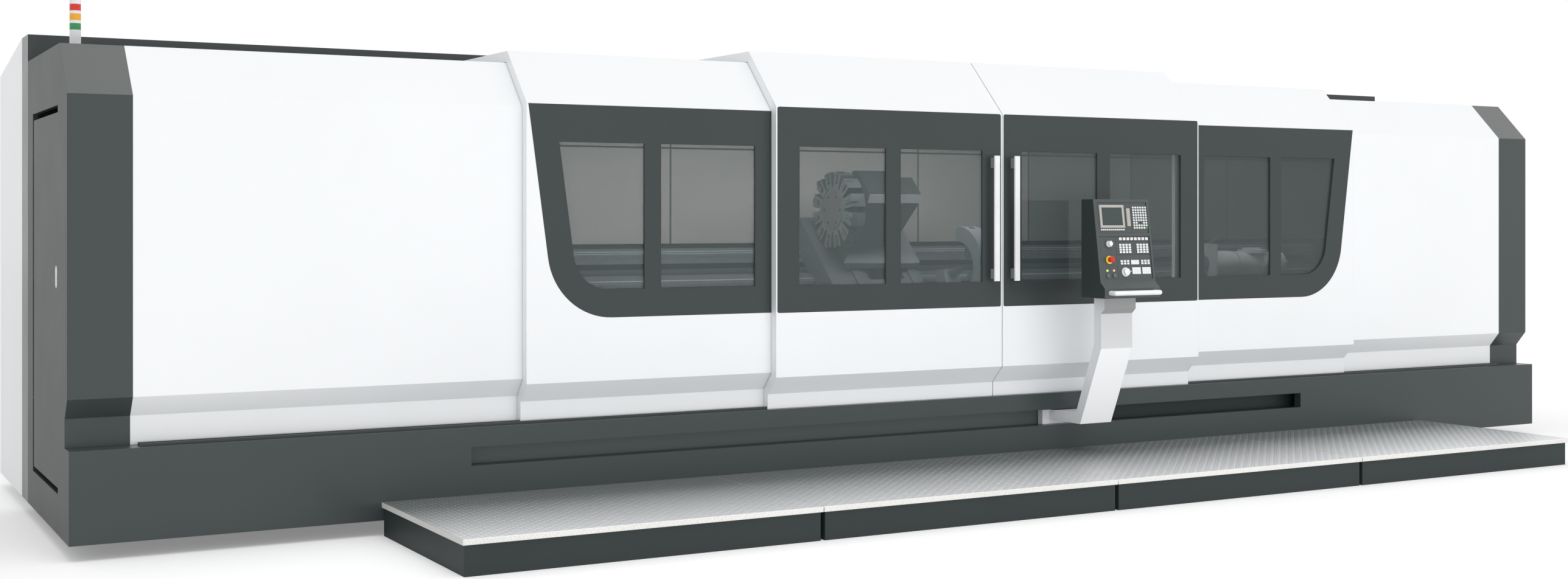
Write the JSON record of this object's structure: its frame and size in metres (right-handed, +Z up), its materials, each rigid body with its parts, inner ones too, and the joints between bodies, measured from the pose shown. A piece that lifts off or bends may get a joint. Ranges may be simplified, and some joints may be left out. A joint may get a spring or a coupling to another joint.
{
  "type": "cnc turning lathe",
  "caption": "Long slant-bed turning lathe with sliding guard doors, tool turret, steady rest, tailstock, travelling control pendant and operator platform.",
  "frame": {"origin": "middle of the footprint, on the floor", "axes": "+X along the spindle from headstock to tailstock, +Y from the operator to the rear cabinet, +Z up"},
  "size_m": [10.39, 4.104, 2.773],
  "materials": {
    "white_sheet": "satin",
    "dark_sheet": "satin",
    "window_frame": "satin",
    "window_pane": "polished",
    "grey_sheet": "satin",
    "white_plastic": "satin",
    "cast_grey": "painted",
    "dark_cast": "painted",
    "ground_steel": "ground",
    "chuck_steel": "turned",
    "tread_plate": "tread pattern",
    "foot_iron": "matte",
    "lens": "translucent",
    "pendant_shell": "satin",
    "screen": "matte",
    "keys": "matte",
    "stop_red": "gloss",
    "button_dark": "gloss"
  },
  "bodies": {
    "machine": {"base_casing": "dark_sheet", "levelling_feet": "foot_iron", "bed": "cast_grey", "feed_screw": "ground_steel", "left_end_cap": "dark_sheet", "left_cover": "white_sheet", "right_cover": "white_sheet", "right_end_cap": "dark_sheet", "cabinet_frame": "dark_sheet", "rear_cabinet": "white_sheet", "back_wall": "grey_sheet", "headstock": "cast_grey", "door_guide_rails": "dark_sheet", "platform_boxes": "dark_sheet", "platform_treads": "tread_plate", "signal_post": "white_plastic", "signal_lenses": "lens"},
    "service_door": {"side_door": "dark_sheet", "side_door_latch": "white_plastic"},
    "rear_door": {"cabinet_door": "white_sheet"},
    "door_1": {"outer_door_left": "white_sheet", "outer_frame_left": "window_frame", "outer_pane_left": "window_pane"},
    "door_2": {"inner_door_left": "white_sheet", "inner_frame_left": "window_frame", "inner_pane_left": "window_pane", "handle_left": "white_plastic"},
    "door_3": {"inner_door_right": "white_sheet", "inner_frame_right": "window_frame", "inner_pane_right": "window_pane", "handle_right": "white_plastic"},
    "door_4": {"outer_door_right": "white_sheet", "outer_frame_right": "window_frame", "outer_pane_right": "window_pane"},
    "spindle": {"chuck": "chuck_steel"},
    "jaw_1": {"chuck_jaw_1": "chuck_steel"},
    "jaw_2": {"chuck_jaw_2": "chuck_steel"},
    "jaw_3": {"chuck_jaw_3": "chuck_steel"},
    "carriage": {"saddle": "cast_grey"},
    "slide": {"cross_slide": "ground_steel", "turret_housing": "dark_cast"},
    "turret": {"turret_disc": "ground_steel"},
    "tailstock_body": {"tailstock": "cast_grey"},
    "quill": {"tailstock_quill": "ground_steel"},
    "centre": {"live_centre": "ground_steel"},
    "lever": {"clamp_lever": "ground_steel"},
    "steady": {"steady_rest": "cast_grey"},
    "steady_top": {"steady_quill_top": "ground_steel"},
    "steady_front": {"steady_quill_front": "ground_steel"},
    "steady_bottom": {"steady_quill_bottom": "ground_steel"},
    "arm": {"control_arm": "grey_sheet"},
    "pendant": {"pendant_housing": "pendant_shell", "pendant_handle": "white_plastic", "pendant_screen": "screen", "pendant_controls": "keys"},
    "override_knob": {"feed_knob": "white_plastic"},
    "emergency_stop": {"stop_button": "stop_red"},
    "pulse_wheel": {"handwheel": "white_plastic"},
    "left_button": {"button_left": "button_dark"},
    "right_button": {"button_right": "button_dark"}
  },
  "joints": [
    {"name": "door_1_slide", "type": "slide", "parent": "machine", "child": "door_1", "axis": [-1, 0, 0], "range_m": [0, 1.95]},
    {"name": "door_2_slide", "type": "slide", "parent": "machine", "child": "door_2", "axis": [-1, 0, 0], "range_m": [0, 3.35]},
    {"name": "door_3_slide", "type": "slide", "parent": "machine", "child": "door_3", "axis": [1, 0, 0], "range_m": [0, 3]},
    {"name": "door_4_slide", "type": "slide", "parent": "machine", "child": "door_4", "axis": [1, 0, 0], "range_m": [0, 1.55]},
    {"name": "service_door_hinge", "type": "hinge", "parent": "machine", "child": "service_door", "pos_m": [-5.183, 0.493, 0.308], "axis": [0, 0, -1], "range_deg": [0, 95]},
    {"name": "rear_door_hinge", "type": "hinge", "parent": "machine", "child": "rear_door", "pos_m": [3.205, 2.04, 0.253], "axis": [0, 0, -1], "range_deg": [0, 95]},
    {"name": "spindle_turn", "type": "hinge", "parent": "machine", "child": "spindle", "pos_m": [-2.875, -0.142, 1.312], "axis": [1, 0, 0], "continuous": true},
    {"name": "jaw_1_slide", "type": "slide", "parent": "spindle", "child": "jaw_1", "axis": [0, 0, 1], "range_m": [-0.02, 0.03]},
    {"name": "jaw_2_slide", "type": "slide", "parent": "spindle", "child": "jaw_2", "axis": [0, -0.866, -0.5], "range_m": [-0.02, 0.03]},
    {"name": "jaw_3_slide", "type": "slide", "parent": "spindle", "child": "jaw_3", "axis": [0, 0.866, -0.5], "range_m": [-0.02, 0.03]},
    {"name": "carriage_slide", "type": "slide", "parent": "machine", "child": "carriage", "axis": [1, 0, 0], "range_m": [-1.85, 2.6]},
    {"name": "cross_feed", "type": "slide", "parent": "carriage", "child": "slide", "axis": [0, 0.7071, 0.7071], "range_m": [-0.29, 0.06]},
    {"name": "turret_index", "type": "hinge", "parent": "slide", "child": "turret", "pos_m": [-0.247, 0.2363, 1.6903], "axis": [1, 0, 0], "continuous": true},
    {"name": "tailstock_slide", "type": "slide", "parent": "machine", "child": "tailstock_body", "axis": [1, 0, 0], "range_m": [-1.8, 0.35]},
    {"name": "quill_feed", "type": "slide", "parent": "tailstock_body", "child": "quill", "axis": [-1, 0, 0], "range_m": [-0.1, 0.2]},
    {"name": "centre_turn", "type": "hinge", "parent": "quill", "child": "centre", "pos_m": [2.373, -0.142, 1.312], "axis": [1, 0, 0], "continuous": true},
    {"name": "clamp_turn", "type": "hinge", "parent": "tailstock_body", "child": "lever", "pos_m": [2.569, -0.142, 1.4483], "axis": [0, 0, 1], "range_deg": [-60, 60]},
    {"name": "steady_slide", "type": "slide", "parent": "machine", "child": "steady", "axis": [1, 0, 0], "range_m": [-1.3, 1.2]},
    {"name": "steady_top_feed", "type": "slide", "parent": "steady", "child": "steady_top", "axis": [0, 0.2588, -0.9659], "range_m": [-0.025, 0.035]},
    {"name": "steady_front_feed", "type": "slide", "parent": "steady", "child": "steady_front", "axis": [0, 0.7071, 0.7071], "range_m": [-0.025, 0.035]},
    {"name": "steady_bottom_feed", "type": "slide", "parent": "steady", "child": "steady_bottom", "axis": [0, -0.9659, 0.2588], "range_m": [-0.025, 0.035]},
    {"name": "arm_travel", "type": "slide", "parent": "machine", "child": "arm", "axis": [1, 0, 0], "range_m": [-3.84, 1.88]},
    {"name": "pendant_swivel", "type": "hinge", "parent": "arm", "child": "pendant", "pos_m": [0.7875, -1.252, 1.1453], "axis": [0, 0, 1], "range_deg": [-45, 45]},
    {"name": "override_turn", "type": "hinge", "parent": "pendant", "child": "override_knob", "pos_m": [0.664, -1.33882, 1.47975], "axis": [0, -0.99, 0.1411], "range_deg": [-150, 150]},
    {"name": "stop_press", "type": "slide", "parent": "pendant", "child": "emergency_stop", "axis": [0, 0.99, -0.1411], "range_m": [0, 0.006]},
    {"name": "pulse_turn", "type": "hinge", "parent": "pendant", "child": "pulse_wheel", "pos_m": [0.775, -1.36323, 1.30848], "axis": [0, -0.99, 0.1411], "continuous": true},
    {"name": "left_press", "type": "slide", "parent": "pendant", "child": "left_button", "axis": [0, 0.99, -0.1411], "range_m": [0, 0.004], "stiffness_N_per_m": 300, "springref_m": -0.002},
    {"name": "right_press", "type": "slide", "parent": "pendant", "child": "right_button", "axis": [0, 0.99, -0.1411], "range_m": [0, 0.004], "stiffness_N_per_m": 300, "springref_m": -0.002}
  ],
  "couplings": [
    {"joint": "jaw_2_slide", "follows": "jaw_1_slide", "ratio": 1},
    {"joint": "jaw_3_slide", "follows": "jaw_1_slide", "ratio": 1}
  ]
}
